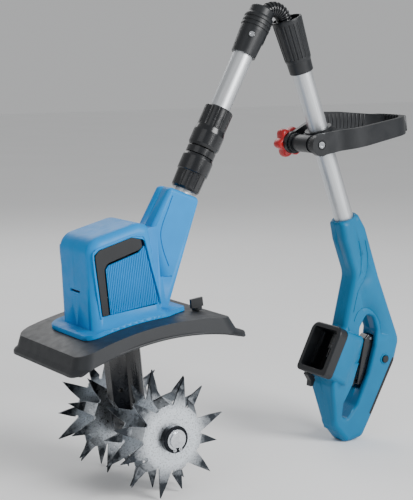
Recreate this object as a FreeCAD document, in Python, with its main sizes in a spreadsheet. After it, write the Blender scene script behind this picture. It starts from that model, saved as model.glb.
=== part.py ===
import FreeCAD, Part
import math
import os
import Sketcher
from FreeCAD import Placement, Rotation, Vector

# A folded two-section soil tiller. The origin is on the ground, in the middle of the footprint.
# X runs from the tines to the rear handle, Y along the tine axle and Z up.

doc = FreeCAD.newDocument("Tiller")
sheet = doc.addObject("Spreadsheet::Sheet", "Sizes")

drivingSizes = [
    ("axleX", -152.64), ("axleHeight", 80.05), ("headTilt", 6.0),
    ("tineRadius", 80.0), ("tineCount", 12), ("discThickness", 2.5), ("discRoot", 43.0), ("tineOffset", 14.0),
    ("outerDiscY", 88.0), ("innerDiscY", 38.0), ("axleDiameter", 20.0), ("hubRadius", 18.0),
    ("hubEndY", 100.0), ("axleEndY", 103.0),
    ("guardHalfWidth", 100.0), ("guardWall", 3.0), ("guardArch", 450.0), ("guardTop", 150.0),
    ("legRadius", 14.0), ("legHeight", 152.0), ("caseRadius", 27.0), ("caseHalfWidth", 18.0),
    ("housingHalfWidth", 45.0), ("housingWall", 3.0), ("neckHalfWidth", 19.0),
    ("motorRadius", 22.0), ("motorLength", 62.0), ("gearboxLength", 20.0),
    ("lowerLean", 27.8), ("upperLean", 20.5), ("foldReach", 24.0),
    ("tubeOuter", 28.0), ("tubeInner", 25.2), ("stubOuter", 25.0), ("stubInner", 22.0),
    ("upperOuter", 28.0), ("upperInner", 25.2), ("couplerLength", 121.0), ("nutRadius", 21.2),
    ("nutFlutes", 12), ("fittingRadius", 19.0), ("fittingLength", 60.0), ("conduitRadius", 11.0),
    ("conduitBend", 19.5), ("sleeveRadius", 21.5), ("sleeveLength", 78.0), ("sleeveFlutes", 20),
    ("clampRadius", 19.5), ("clampHeight", 26.0), ("boltDiameter", 6.0), ("boltOffset", 25.7),
    ("armInner", 28.0), ("armThickness", 7.0), ("loopReach", 165.0), ("loopHalfWidth", 50.0),
    ("loopHeight", 30.0), ("loopRise", 17.0), ("knobRadius", 23.0), ("knobThickness", 17.0),
    ("knobLobes", 6),
    ("gripHalfWidth", 18.0), ("gripRound", 9.0), ("gapRound", 5.0), ("bayHalfWidth", 34.0), ("bayDepth", 32.0),
    ("pinionTeeth", 10), ("gearTeeth", 30), ("toothModule", 1.2),
]
for row, (alias, value) in enumerate(drivingSizes, start=1):
    sheet.set(f"A{row}", alias)
    sheet.set(f"B{row}", str(value))
    sheet.setAlias(f"B{row}", alias)
doc.recompute()


def size(alias):
    return float(sheet.get(alias))


nodes = []


# ---------- frames ----------
def turnedFrame(x, z, lean):
    """A frame whose Z axis leans from vertical towards +X by lean degrees."""
    return Placement(Vector(x, 0, z), Rotation(Vector(0, 1, 0), lean))


axle = (size("axleX"), size("axleHeight"))
headFrame = turnedFrame(axle[0], axle[1], -size("headTilt"))
couplerFrame = turnedFrame(axle[0] + 75.6, 388.0, size("lowerLean"))
sleeveFrame = turnedFrame(axle[0] + 242.4, 616.6, -size("upperLean"))
worldFrame = Placement()


def foldPivot():
    """Point at the same distance from both tube axes, between the two sections."""
    low = couplerFrame.Base
    high = sleeveFrame.Base
    lowDir = couplerFrame.Rotation.multVec(Vector(0, 0, 1))
    highDir = sleeveFrame.Rotation.multVec(Vector(0, 0, 1))
    cross = lowDir.x * highDir.z - lowDir.z * highDir.x
    reach = ((high.x - low.x) * highDir.z - (high.z - low.z) * highDir.x) / cross
    apex = low + lowDir * reach
    bisector = (lowDir + highDir).normalize()
    half = math.radians((size("lowerLean") + size("upperLean")) / 2)
    return apex - bisector * (size("foldReach") / math.sin(half))


pivot = foldPivot()


# ---------- small makers ----------
def place(obj, label, frame=worldFrame):
    obj.Label = label
    obj.Placement = frame.multiply(obj.Placement)
    nodes.append(obj)
    return obj


def shapeNode(label, shape, frame=worldFrame):
    obj = doc.addObject("Part::Feature", label)
    obj.Shape = shape.removeSplitter() if len(shape.Solids) == 1 else shape
    return place(obj, label, frame)


def drum(name, radius, height, base=Vector(0, 0, 0), turn=None):
    """A cylinder whose radius and height may be numbers or expressions on the sheet."""
    obj = doc.addObject("Part::Cylinder", name)
    for prop, value in (("Radius", radius), ("Height", height)):
        if isinstance(value, str):
            obj.setExpression(prop, value)
        else:
            setattr(obj, prop, value)
    obj.Placement = Placement(base, turn or Rotation())
    return obj


def cut(name, base, tool):
    obj = doc.addObject("Part::Cut", name)
    obj.Base = base
    obj.Tool = tool
    return obj


def smaller(before, after, name):
    """Stops the build when a pocket or groove took nothing away."""
    if after > before - 1.0:
        raise RuntimeError(f"{name} removed nothing")


def carved(solid, tool, name):
    left = solid.cut(tool)
    smaller(solid.Volume, left.Volume, name)
    return left


def tube(name, outer, inner, length, z=0.0):
    skin = drum(name + "Skin", f"Sizes.{outer} / 2", length, Vector(0, 0, z))
    bore = drum(name + "Bore", f"Sizes.{inner} / 2", length, Vector(0, 0, z))
    return cut(name, skin, bore)


def roundedWire(points, radii, toVector):
    """Closed outline through points, with an arc of the given radius at each corner."""
    edges = []
    starts = []
    ends = []
    count = len(points)
    arcs = []
    for i in range(count):
        corner = toVector(*points[i])
        radius = radii[i] if isinstance(radii, (list, tuple)) else radii
        before = (toVector(*points[i - 1]) - corner).normalize()
        after = (toVector(*points[(i + 1) % count]) - corner).normalize()
        if radius <= 0:
            starts.append(corner)
            ends.append(corner)
            arcs.append(None)
            continue
        half = before.getAngle(after) / 2
        setback = radius / math.tan(half)
        centre = corner + (before + after).normalize() * (radius / math.sin(half))
        middle = centre + (corner - centre).normalize() * radius
        starts.append(corner + before * setback)
        ends.append(corner + after * setback)
        arcs.append(middle)
    for i in range(count):
        if arcs[i] is not None:
            edges.append(Part.Arc(starts[i], arcs[i], ends[i]).toShape())
        edges.append(Part.LineSegment(ends[i], starts[(i + 1) % count]).toShape())
    return Part.Wire(edges)


def sidePrism(points, radii, y0, y1):
    """Outline in the XZ plane, pushed from y0 to y1."""
    wire = roundedWire(points, radii, lambda x, z: Vector(x, y0, z))
    return Part.Face(wire).extrude(Vector(0, y1 - y0, 0))


def flatPrism(points, radii, z0, z1):
    """Outline in the XY plane, pushed from z0 to z1."""
    wire = roundedWire(points, radii, lambda x, y: Vector(x, y, z0))
    return Part.Face(wire).extrude(Vector(0, 0, z1 - z0))


def softened(solid, radius, wanted):
    """Rounds the edges that the wanted test picks."""
    edges = [edge for edge in solid.Edges if wanted(edge)]
    return solid.makeFillet(radius, edges)


def yCylinder(radius, x, z, y0, y1):
    return Part.makeCylinder(radius, y1 - y0, Vector(x, y0, z), Vector(0, 1, 0))


def zCylinder(radius, x, y, z0, z1):
    return Part.makeCylinder(radius, z1 - z0, Vector(x, y, z0))


def ring(outer, inner, z0, z1):
    return zCylinder(outer, 0, 0, z0, z1).cut(zCylinder(inner, 0, 0, z0 - 1, z1 + 1))


def halves(shape, gap=0.05):
    """The two sides of a shell that is split on the XZ plane."""
    big = 2000.0
    left = Part.makeBox(big, big, big, Vector(-big / 2, -big - gap, -big / 2))
    right = Part.makeBox(big, big, big, Vector(-big / 2, gap, -big / 2))
    return shape.common(left), shape.common(right)


def sketchIn(body, role, name):
    sketch = body.newObject("Sketcher::SketchObject", name)
    plane = [item for item in body.Origin.OriginFeatures if item.Role == role][0]
    sketch.AttachmentSupport = (plane, [""])
    sketch.MapMode = "FlatFace"
    return sketch


def closedLines(sketch, points):
    count = len(points)
    for i in range(count):
        a = Vector(points[i][0], points[i][1], 0)
        b = Vector(points[(i + 1) % count][0], points[(i + 1) % count][1], 0)
        sketch.addGeometry(Part.LineSegment(a, b), False)
    for i in range(count):
        sketch.addConstraint(Sketcher.Constraint("Coincident", i, 2, (i + 1) % count, 1))


def turnedBody(name, profile):
    """A body turned about Z from a closed (radius, height) profile."""
    body = doc.addObject("PartDesign::Body", name)
    sketch = sketchIn(body, "XZ_Plane", name + "Profile")
    closedLines(sketch, profile)
    turn = body.newObject("PartDesign::Revolution", name + "Turn")
    turn.Profile = sketch
    turn.ReferenceAxis = (sketch, ["V_Axis"])
    turn.Angle = 360
    doc.recompute()
    return body


def fluted(body, name, radius, fluteRadius, length, offset, countExpression, flare=0.0):
    """Cuts round flutes upwards from offset, repeated about Z. They lean outwards by flare degrees."""
    whole = body.Shape.Volume
    sketch = sketchIn(body, "XY_Plane", name + "Flute")
    sketch.AttachmentOffset = Placement(Vector(0, 0, offset), Rotation(Vector(0, 1, 0), flare))
    sketch.addGeometry(Part.Circle(Vector(radius, 0, 0), Vector(0, 0, 1), fluteRadius), False)
    pocket = body.newObject("PartDesign::Pocket", name + "Cut")
    pocket.Profile = sketch
    pocket.Length = length
    pocket.Reversed = True
    doc.recompute()
    oneFlute = body.Shape.Volume
    smaller(whole, oneFlute, name)
    upright = [item for item in body.Origin.OriginFeatures if item.Role == "Z_Axis"][0]
    pattern = body.newObject("PartDesign::PolarPattern", name + "Ring")
    pattern.Originals = [pocket]
    pattern.Axis = (upright, [""])
    pattern.Angle = 360
    pattern.setExpression("Occurrences", countExpression)
    body.Tip = pattern
    doc.recompute()
    smaller(oneFlute, body.Shape.Volume, name)
    return body


# ---------- drive: axle, gears and tines, in the head's frame ----------
axleRadius = size("axleDiameter") / 2
sideTurn = Rotation(Vector(1, 0, 0), -90)


def makeAxle():
    end = Vector(0, -size("axleEndY"), 0)
    bar = drum("AxleBar", "Sizes.axleDiameter / 2", "2 * Sizes.axleEndY", end, sideTurn)
    return place(bar, "axle", headFrame)


def sideTurned(name, label, profile):
    """A body turned about the axle from a closed (radius, y) profile."""
    body = turnedBody(name, profile)
    body.Placement = Placement(Vector(0, 0, 0), sideTurn)
    return place(body, label, headFrame)


def makeHubs():
    collar = size("hubRadius")
    inner = size("innerDiscY")
    outer = size("outerDiscY") + size("discThickness")
    end = size("hubEndY")
    bore = axleRadius + 0.05
    profile = [(bore, 21.0), (15.0, 21.0), (15.0, inner - 3), (collar, inner - 3), (collar, inner), (14.0, inner),
               (14.0, outer), (collar, outer), (collar, end - 1.0), (collar - 1.0, end), (bore, end)]
    for side, sign in (("left", -1), ("right", 1)):
        sideTurned("Hub" + side.title(), f"hub_{side}", [(r, sign * y) for r, y in profile])


def tinePlan(width, reach):
    """Shark-fin outline of one tine in the disc's plane, pointing along +X."""
    root = size("discRoot") - 4
    return [(root, -width), (reach * 0.72, -width * 0.45), (reach, width * 0.28),
            (reach * 0.76, width * 0.72), (root, width)]


def makeTineDisc(label, y, inward, startAngle):
    """Star plate with straight tines and, between them, tines that step sideways."""
    thick = size("discThickness")
    root = size("discRoot")
    reach = size("tineRadius")
    shift = size("tineOffset") * inward
    plate = yCylinder(root, 0, 0, y, y + thick)
    plan = [Vector(x, y - 30, z) for x, z in tinePlan(10.0, reach)]
    blade = Part.Face(Part.makePolygon(plan + plan[:1])).extrude(Vector(0, 60, 0))
    flatBlade = blade.common(Part.makeBox(reach, thick, 60, Vector(root - 5, y, -30)))
    stepLine = [(root - 5, 0), (root + 1, 0), (root + 11, shift), (reach + 1, shift)]
    outline = [Vector(r, y + s, -30) for r, s in stepLine]
    outline += [Vector(r, y + s + thick, -30) for r, s in reversed(stepLine)]
    stepped = Part.Face(Part.makePolygon(outline + outline[:1])).extrude(Vector(0, 0, 60)).common(blade)
    tines = []
    count = int(size("tineCount"))
    for i in range(count):
        tine = (flatBlade if i % 2 == 0 else stepped).copy()
        tine.rotate(Vector(0, 0, 0), Vector(0, 1, 0), -(startAngle + i * 360.0 / count))
        tines.append(tine)
    disc = plate.fuse(tines).cut(yCylinder(14.0, 0, 0, y - 1, y + thick + 1))
    shapeNode(label, disc, headFrame)


def makeTines():
    thick = size("discThickness")
    makeTineDisc("tine_outer_left", -size("outerDiscY") - thick, 1, 9.0)
    makeTineDisc("tine_inner_left", -size("innerDiscY") - thick, -1, 22.0)
    makeTineDisc("tine_inner_right", size("innerDiscY"), 1, 4.0)
    makeTineDisc("tine_outer_right", size("outerDiscY"), -1, 17.0)


def makeClips():
    clips = []
    for sign in (-1, 1):
        y0 = sign * (size("hubEndY") + 0.7) - 0.6
        clip = yCylinder(13.5, 0, 0, y0, y0 + 1.2).cut(yCylinder(axleRadius + 0.05, 0, 0, y0 - 1, y0 + 2))
        clip = clip.cut(Part.makeBox(5, 4, 20, Vector(-2.5, y0 - 1, -20)))
        for x in (-4.2, 4.2):
            lug = yCylinder(2.4, x, -13.2, y0, y0 + 1.2).cut(yCylinder(1.0, x, -13.2, y0 - 1, y0 + 2))
            clip = clip.fuse(lug)
        clips.append(clip)
    shapeNode("axle_clips", Part.makeCompound(clips), headFrame)


def wedgeTooth(pitchRadius, pitchHeight, angle, module, axisY):
    """Straight tooth of a bevel gear that narrows towards the apex of its cone."""
    length = math.hypot(pitchRadius, pitchHeight)
    lean = (pitchHeight / length, -pitchRadius / length)
    wires = []
    for scale in (1.0, 0.7):
        corners = []
        for rise, half in ((-1.3 * module, 1.0), (0.95 * module, 0.25)):
            r = scale * (pitchRadius + rise * lean[0])
            a = scale * (pitchHeight + rise * lean[1])
            corners.append([(r, a, -half * scale * module), (r, a, half * scale * module)])
        loop = [corners[0][0], corners[0][1], corners[1][1], corners[1][0]]
        points = []
        for r, a, w in loop:
            u = r * math.cos(angle) - w * math.sin(angle)
            v = r * math.sin(angle) + w * math.cos(angle)
            points.append(Vector(u, a, v) if axisY else Vector(u, v, a))
        wires.append(Part.makePolygon(points + points[:1]))
    return Part.makeLoft(wires, True, True)


def makeBevelGears():
    """Reduction between the upright drive shaft and the axle: pinion above, gear on the axle."""
    module = size("toothModule")
    teethP = int(size("pinionTeeth"))
    teethG = int(size("gearTeeth"))
    rp = module * teethP / 2
    rg = module * teethG / 2
    length = math.hypot(rp, rg)
    drop = 1.2 * module
    big = (rg - drop * rp / length, rp + drop * rg / length)
    small = (0.7 * big[0], 0.7 * big[1])
    profile = [(axleRadius + 0.05, small[1]), small, big, (big[0], 12.0), (axleRadius + 0.05, 12.0)]
    wire = Part.makePolygon([Vector(r, y, 0) for r, y in profile + profile[:1]])
    gear = Part.Face(wire).revolve(Vector(0, 0, 0), Vector(0, 1, 0), 360)
    for i in range(teethG):
        angle = math.radians(90 + (i + 0.5) * 360.0 / teethG)
        gear = gear.fuse(wedgeTooth(rg, rp, angle, module, True))
    shapeNode("bevel_gear", gear, headFrame)
    bigP = (rp - drop * rg / length, rg + drop * rp / length)
    smallP = (0.7 * bigP[0], 0.7 * bigP[1])
    profile = [(0, smallP[1]), smallP, bigP, (bigP[0], rg + 1.5), (0, rg + 1.5)]
    wire = Part.makePolygon([Vector(r, 0, z) for r, z in profile + profile[:1]])
    pinion = Part.Face(wire).revolve(Vector(0, 0, 0), Vector(0, 0, 1), 360)
    for i in range(teethP):
        angle = math.radians(90 + i * 360.0 / teethP)
        pinion = pinion.fuse(wedgeTooth(rp, rg, angle, module, False))
    shapeNode("bevel_pinion", pinion, headFrame)


shaftRadius = 4.0


def makeDriveShaft():
    foot = size("toothModule") * size("gearTeeth") / 2 + 1.5
    rod = drum("ShaftRod", shaftRadius, size("legHeight") + 8 - foot, Vector(0, 0, foot))
    place(rod, "drive_shaft", headFrame)
    rings = []
    for z in (24.0, size("legHeight") - 12):
        race = ring(size("legRadius") - 3.5, shaftRadius + 0.04, z, z + 8)
        rings.append(race)
    shapeNode("shaft_bearings", Part.makeCompound(rings), headFrame)


def makeGearLeg():
    """Cast leg: round gear case at the foot, round shaft tube and a flat web in front of it."""
    wide = size("caseHalfWidth")
    high = size("legHeight")
    tubeR = size("legRadius")
    outer = yCylinder(size("caseRadius"), 0, 0, -wide, wide)
    outer = outer.fuse(zCylinder(tubeR, 0, 0, 0, high))
    web = sidePrism([(-20, 10), (-36, 40), (-37, high), (0, high), (0, 10)], 0, -8, 8)
    flange = flatPrism([(-44, -24), (22, -24), (22, 24), (-44, 24)], 8, high, high + 5)
    outer = outer.fuse([web, flange])
    hollow = yCylinder(20.6, 0, 0, -13.5, 13.5)
    hollow = hollow.fuse(zCylinder(tubeR - 3.5, 0, 0, 0, high + 6))
    bushSeat = yCylinder(13.5, 0, 0, -wide - 1, wide + 1)
    hole = yCylinder(3.2, -24, 52, -20, 20)
    left, right = halves(outer.cut(hollow).cut(bushSeat).cut(hole))
    shapeNode("leg_case_left", left, headFrame)
    shapeNode("leg_case_right", right, headFrame)
    bushes = []
    seals = []
    for sign in (-1, 1):
        y0 = 13.5 if sign > 0 else -wide
        bush = yCylinder(13.5, 0, 0, y0, y0 + wide - 13.5).cut(yCylinder(axleRadius + 0.04, 0, 0, -40, 40))
        bushes.append(bush)
        y0 = wide if sign > 0 else -wide - 2
        seal = yCylinder(17.0, 0, 0, y0, y0 + 2).cut(yCylinder(axleRadius + 0.08, 0, 0, -40, 40))
        seals.append(seal)
    shapeNode("axle_bushes", Part.makeCompound(bushes), headFrame)
    shapeNode("axle_seals", Part.makeCompound(seals), headFrame)


# ---------- guard, an arched cover over the tines ----------
archCentre = (2.0, size("guardTop") - size("guardArch"))


def archSolid(radius, halfWidth):
    return yCylinder(radius, archCentre[0], archCentre[1], -halfWidth, halfWidth)


def guardLoft(inset):
    half = size("guardHalfWidth")
    rings = []
    for z, front, rear, y, corner in ((92, -133, 134, half, 24), (114, -130, 130, half, 24),
                                      (119, -125, 119, half - 4, 22), (160, -109, 98, half - 9, 20)):
        low = front + inset
        high = rear - inset
        wide = y - inset
        points = [(low, -wide), (high, -wide), (high, wide), (low, wide)]
        rings.append(roundedWire(points, corner - inset * 0.8, lambda a, b, z=z: Vector(a, b, z)))
    return Part.makeLoft(rings, True, True)


def makeGuard():
    wall = size("guardWall")
    outer = guardLoft(0).common(archSolid(size("guardArch"), 150))
    inner = guardLoft(wall).common(archSolid(size("guardArch") - wall, 150))
    shell = outer.cut(inner)
    edgeRadius = 360
    edgeTop = 133
    shell = carved(shell, yCylinder(edgeRadius, -4, edgeTop - edgeRadius, -150, 150), "guard arch")
    leg = flatPrism([(-38, -15), (16, -15), (16, 15), (-38, 15)], 0, 130, 170)
    shell = shell.cut(leg)
    screwHole = zCylinder(3.3, 88, -36, 120, 170)
    shapeNode("guard", shell.cut(screwHole), headFrame)
    top = size("guardTop") - 7.8
    knob = zCylinder(3.0, 88, -36, top - 14, top + 4)
    knob = knob.fuse(zCylinder(7.0, 88, -36, top + 1.5, top + 5))
    knob = knob.fuse(flatPrism([(78, -38), (98, -38), (98, -34), (78, -34)], 1.5, top + 5, top + 17))
    shapeNode("guard_screw", knob, headFrame)


# ---------- motor head ----------
def bodyProfile(inset):
    return [(-73 + inset, 150), (-67 + inset, 265 - inset), (9, 276 - inset), (25 - inset, 270 - inset),
            (35 - inset, 150)]


def neckProfile(inset):
    return [(10, 150), (10, 262), (41, 262), (76 + inset, 310 - inset), (120 - inset, 287 - inset),
            (56 - inset, 150)]


coupler = headFrame.inverse().multiply(couplerFrame)


def couplerBar(radius, z0, z1):
    """A round bar on the lower tube's axis, seen from the head's frame."""
    base = coupler.multVec(Vector(0, 0, z0))
    return Part.makeCylinder(radius, z1 - z0, base, coupler.Rotation.multVec(Vector(0, 0, 1)))


def rimOutline():
    return [(-59, 166), (-61, 246), (-54, 252), (-5, 260), (13, 254), (28, 166)]


def makeHousing():
    wide = size("housingHalfWidth")
    wall = size("housingWall")
    neck = size("neckHalfWidth")
    body = sidePrism(bodyProfile(0), [0, 22, 24, 8, 0], -wide, wide)
    body = softened(body, 13, lambda e: abs(abs(e.CenterOfMass.y) - wide) < 0.01 and e.CenterOfMass.z > 151)
    stem = sidePrism(neckProfile(0), [0, 0, 0, 6, 7, 0], -neck, neck)
    stem = softened(stem, 6, lambda e: abs(abs(e.CenterOfMass.y) - neck) < 0.01
                    and (e.CenterOfMass.z > 263 or e.CenterOfMass.x > 57))
    skirt = flatPrism([(-88, -58), (30, -58), (74, -30), (74, 30), (30, 58), (-88, 58)],
                      [18, 30, 12, 12, 30, 18], 100, 200)
    skirt = skirt.common(archSolid(size("guardArch") + 6, 70))
    outer = body.fuse([stem, skirt]).cut(archSolid(size("guardArch") + 0.3, 90))
    hollow = sidePrism(bodyProfile(wall), [0, 18, 20, 5, 0], -wide + wall, wide - wall)
    hollow = softened(hollow, 9, lambda e: abs(abs(e.CenterOfMass.y) - wide + wall) < 0.01
                      and e.CenterOfMass.z > 151)
    hollow = hollow.cut(sidePrism([(-80, 140), (-80, 158), (60, 158), (60, 140)], 0, -60, 60))
    hollow = hollow.fuse(flatPrism([(-45, -26), (24, -26), (24, 26), (-45, 26)], 6, 140, 160))
    solid = outer.cut(hollow)
    solid = solid.cut(couplerBar(size("stubOuter") / 2, -75, 30))
    pockets = []
    for sign in (-1, 1):
        y0 = wide - 3 if sign > 0 else -wide - 3
        pockets.append(sidePrism(rimOutline(), [2, 4, 4, 8, 6, 4], y0, y0 + 6))
    slit = Part.makeBox(20, 26, 3, Vector(-75, -13, 195))
    solid = carved(solid, Part.makeCompound(pockets), "side recesses")
    solid = carved(solid, slit, "front vent")
    left, right = halves(solid)
    shapeNode("motor_housing_left", left, headFrame)
    shapeNode("motor_housing_right", right, headFrame)


def makeSidePanels():
    """Ribbed grille and black corner trim that sit in each side's recess."""
    wide = size("housingHalfWidth")
    trim = [(-49, 166.5), (-58, 166.5), (-60, 245.5), (-53.5, 251.5), (-5, 259.5), (8, 255), (9, 245),
            (3, 242), (-44, 233), (-49, 226)]
    grille = [(-46, 166.5), (-46, 226), (-42, 230), (3, 238.5), (12.6, 246.5), (25.8, 167.2)]
    for side, sign in (("left", -1), ("right", 1)):
        floor = sign * (wide - 3)
        plate = sidePrism(grille, 1, min(floor, floor + 2 * sign), max(floor, floor + 2 * sign))
        bars = []
        for i in range(27):
            x = -44.4 + i * 2.6
            bars.append(Part.makeBox(1.3, 0.9, 88, Vector(x, floor + (2 if sign > 0 else -2.9), 165)))
        ribs = Part.makeCompound(bars).common(sidePrism(grille, 1, -60, 60))
        shapeNode(f"grille_{side}", plate.fuse(ribs), headFrame)
        strip = sidePrism(trim, [1, 1, 4, 3, 4, 3, 2, 2, 8, 6], min(floor, floor + 3.4 * sign),
                          max(floor, floor + 3.4 * sign))
        shapeNode(f"side_trim_{side}", strip, headFrame)


def makeMotor():
    low = size("legHeight") + 8.2
    box = drum("GearboxDrum", size("motorRadius") - 2, "Sizes.gearboxLength", Vector(0, 0, low))
    place(box, "motor_gearbox", headFrame)
    top = low + size("gearboxLength")
    can = drum("MotorDrum", "Sizes.motorRadius", "Sizes.motorLength", Vector(0, 0, top))
    place(can, "motor_can", headFrame)


def screwHeads(radius, height, points, y):
    """Round recessed heads on a side face."""
    heads = []
    for x, z in points:
        head = yCylinder(radius, x, z, y, y + height)
        head = head.cut(yCylinder(radius * 0.45, x, z, y + height * 0.5, y + height + 1))
        heads.append(head)
    return Part.makeCompound(heads)


def makeHousingScrews():
    points = [(83, 290), (106, 283), (81, 240), (63, 197)]
    shapeNode("housing_screws", screwHeads(3.2, 1.6, points, size("neckHalfWidth")), headFrame)


# ---------- lower shaft: coupling, tube and conduit fitting ----------
def fluteNut(name, label, profile, fluteRadius, length, offset):
    body = turnedBody(name, profile)
    centre = size("nutRadius") - 1.2 + fluteRadius * 0.45
    fluted(body, name, centre, fluteRadius, length, offset, "Sizes.nutFlutes")
    return place(body, label, couplerFrame)


def makeCoupling():
    """Two clamp nuts on a common body, which grip the stub below and the lower tube above."""
    length = size("couplerLength")
    nut = size("nutRadius")
    tubeR = size("tubeOuter") / 2
    stub = tube("StubTube", "stubOuter", "stubInner", 210.0, -72.0)
    place(stub, "stub_tube", couplerFrame)
    core = [(size("stubOuter") / 2, 6.0), (15.5, 6.0), (15.5, 50.0), (nut - 1.2, 51.0), (nut - 1.2, 60.0),
            (15.5, 61.0), (15.5, length - 6), (tubeR + 0.05, length - 6), (tubeR + 0.05, 12.0),
            (size("stubOuter") / 2, 12.0)]
    place(turnedBody("CouplerBody", core), "coupler_body", couplerFrame)
    loose = size("stubOuter") / 2 + 0.3
    low = [(loose, 0.0), (nut - 4, 0.0), (nut - 1.6, 3.0), (nut - 1.0, 25.0), (nut + 0.3, 26.0),
           (nut + 0.3, 46.0), (nut - 1.5, 50.0), (15.8, 50.0), (15.8, 5.4), (loose, 5.4)]
    fluteNut("LowerNut", "lower_nut", low, 2.2, 22.0, 2.0)
    high = [(15.8, 62.0), (nut - 1.5, 62.0), (nut + 0.3, 66.0), (nut + 0.3, 84.0), (nut - 1.2, 91.0),
            (nut - 1.2, length - 2), (nut - 3, length), (tubeR + 0.3, length), (tubeR + 0.3, length - 5.4),
            (15.8, length - 5.4)]
    fluteNut("UpperNut", "upper_nut", high, 2.2, 28.0, 92.5)


fittingFrame = Placement(pivot, Rotation(Vector(0, 1, 0), size("lowerLean"))).multiply(
    Placement(Vector(-size("foldReach"), 0, 0), Rotation()))
lowerTubeTop = (couplerFrame.inverse().multVec(fittingFrame.Base)).z


def conduitParts(radius, tailLow, tailHigh):
    """Round hose that runs up out of the lower section, over the fold and down into the sleeve."""
    bend = size("conduitBend")
    lean = math.radians(size("lowerLean"))
    tilt = math.radians(size("upperLean"))
    lowDir = Vector(math.sin(lean), 0, math.cos(lean))
    highDir = Vector(-math.sin(tilt), 0, math.cos(tilt))
    start = pivot + Vector(-math.cos(lean), 0, math.sin(lean)) * bend
    end = pivot + Vector(math.cos(tilt), 0, math.sin(tilt)) * bend
    top = pivot + (lowDir + highDir).normalize() * bend
    tail = start - lowDir * tailLow
    tip = end - highDir * tailHigh
    path = Part.Wire([Part.LineSegment(tail, start).toShape(), Part.Arc(start, top, end).toShape(),
                      Part.LineSegment(end, tip).toShape()])
    circle = Part.Wire([Part.Circle(tail, lowDir, radius).toShape()])
    return path.makePipeShell([circle], True, False)


def makeLowerTube():
    length = lowerTubeTop - 26.0 - 13.0
    place(tube("LowerTube", "tubeOuter", "tubeInner", length, 13.0), "lower_tube", couplerFrame)
    r = size("fittingRadius")
    long = size("fittingLength")
    body = Part.makeCone(r - 1.8, r, long - 24, Vector(0, 0, -long))
    body = body.fuse(zCylinder(r, 0, 0, -24, -4))
    body = body.fuse(Part.makeCone(r, r - 2, 3, Vector(0, 0, -4)))
    body = body.fuse(zCylinder(r - 2, 0, 0, -4, 8)).fuse(Part.makeCone(r - 2, r - 4, 2, Vector(0, 0, 8)))
    for z in (-20.0, -14.0, -8.0):
        body = body.fuse(zCylinder(r + 1.2, 0, 0, z, z + 2.6))
    bulge = zCylinder(15.8, size("foldReach") - size("conduitBend"), 0, -36, -1)
    body = body.fuse(bulge)
    body = body.cut(zCylinder(size("tubeOuter") / 2, 0, 0, -long - 1, -26))
    body = body.cut(zCylinder(10.0, 0, 0, -27, -18))
    body.Placement = fittingFrame.multiply(body.Placement)
    body = body.cut(conduitParts(size("conduitRadius") + 0.02, 20.0, 10.0))
    shapeNode("conduit_fitting", body)
    shapeNode("conduit", conduitParts(size("conduitRadius"), 20.0, 15.8))
    direction = Vector(-0.55, -0.835, 0)
    face = direction * (r - 0.75)
    screw = Part.makeCylinder(3.6, 1.8, Vector(0, 0, -34) + face, direction)
    screw = screw.cut(Part.makeCylinder(1.6, 3, Vector(0, 0, -34) + face + direction, direction))
    other = screw.copy()
    other.rotate(Vector(0, 0, 0), Vector(0, 0, 1), 180)
    screws = Part.makeCompound([screw, other])
    screws = screws.cut(body.copy().transformGeometry(fittingFrame.inverse().toMatrix()))
    shapeNode("fitting_screws", screws, fittingFrame)


# ---------- upper shaft ----------
tubeTopGap = 20.0
handleReach = 365.0


def makeUpperShaft():
    outer = size("upperOuter") / 2
    place(tube("UpperTube", "upperOuter", "upperInner", handleReach - tubeTopGap, -handleReach),
          "upper_tube", sleeveFrame)
    plug = [(0, -16.0), (16.0, -16.0), (16.0, -tubeTopGap), (size("upperInner") / 2, -tubeTopGap),
            (size("upperInner") / 2, -60.0), (0, -60.0)]
    place(turnedBody("TubePlug", plug), "tube_plug", sleeveFrame)
    mouth = size("sleeveRadius")
    long = size("sleeveLength")
    shelf = -tubeTopGap - 1.0
    skin = [(19.0, 0.0), (mouth - 0.7, 0.0), (mouth, -1.5), (mouth - 2.7, -58.0), (17.4, -62.0),
            (16.9, -long + 1), (16.2, -long), (outer + 0.06, -long), (outer + 0.06, shelf), (19.0, shelf)]
    body = turnedBody("LockingSleeve", skin)
    flare = math.degrees(math.atan2(2.7, 56.5))
    fluted(body, "SleeveFlute", mouth - 1.95, 1.7, 50.0, -55.0, "Sizes.sleeveFlutes", flare)
    place(body, "locking_sleeve", sleeveFrame)


clampDepth = 176.0
clampFrame = sleeveFrame.multiply(Placement(Vector(0, 0, -clampDepth), Rotation()))
loopTilt = 12.0
bolt = clampFrame.multVec(Vector(-size("boltOffset"), 0, 0))
loopFrame = Placement(bolt, Rotation(Vector(0, 1, 0), -size("upperLean") + loopTilt))


def makeClamp():
    """Split ring on the upper tube with an eye for the handle's bolt."""
    high = size("clampHeight") / 2
    outer = size("clampRadius")
    eye = size("boltOffset")
    body = zCylinder(outer, 0, 0, -high, high)
    lug = yCylinder(12.5, -eye, 0, -14, 14).fuse(Part.makeBox(eye, 28, 21, Vector(-eye, -14, -10.5)))
    ear = sidePrism([(8, -9), (24, -7), (24, 7), (8, 9)], [0, 5, 5, 0], -8, 8)
    body = body.fuse([lug, ear]).cut(zCylinder(size("upperOuter") / 2, 0, 0, -30, 30))
    body = body.cut(yCylinder(size("boltDiameter") / 2 + 0.05, -eye, 0, -20, 20))
    body = body.cut(Part.makeBox(20, 1.6, 60, Vector(11, -0.8, -30)))
    shapeNode("handle_clamp", body, clampFrame)


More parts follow.
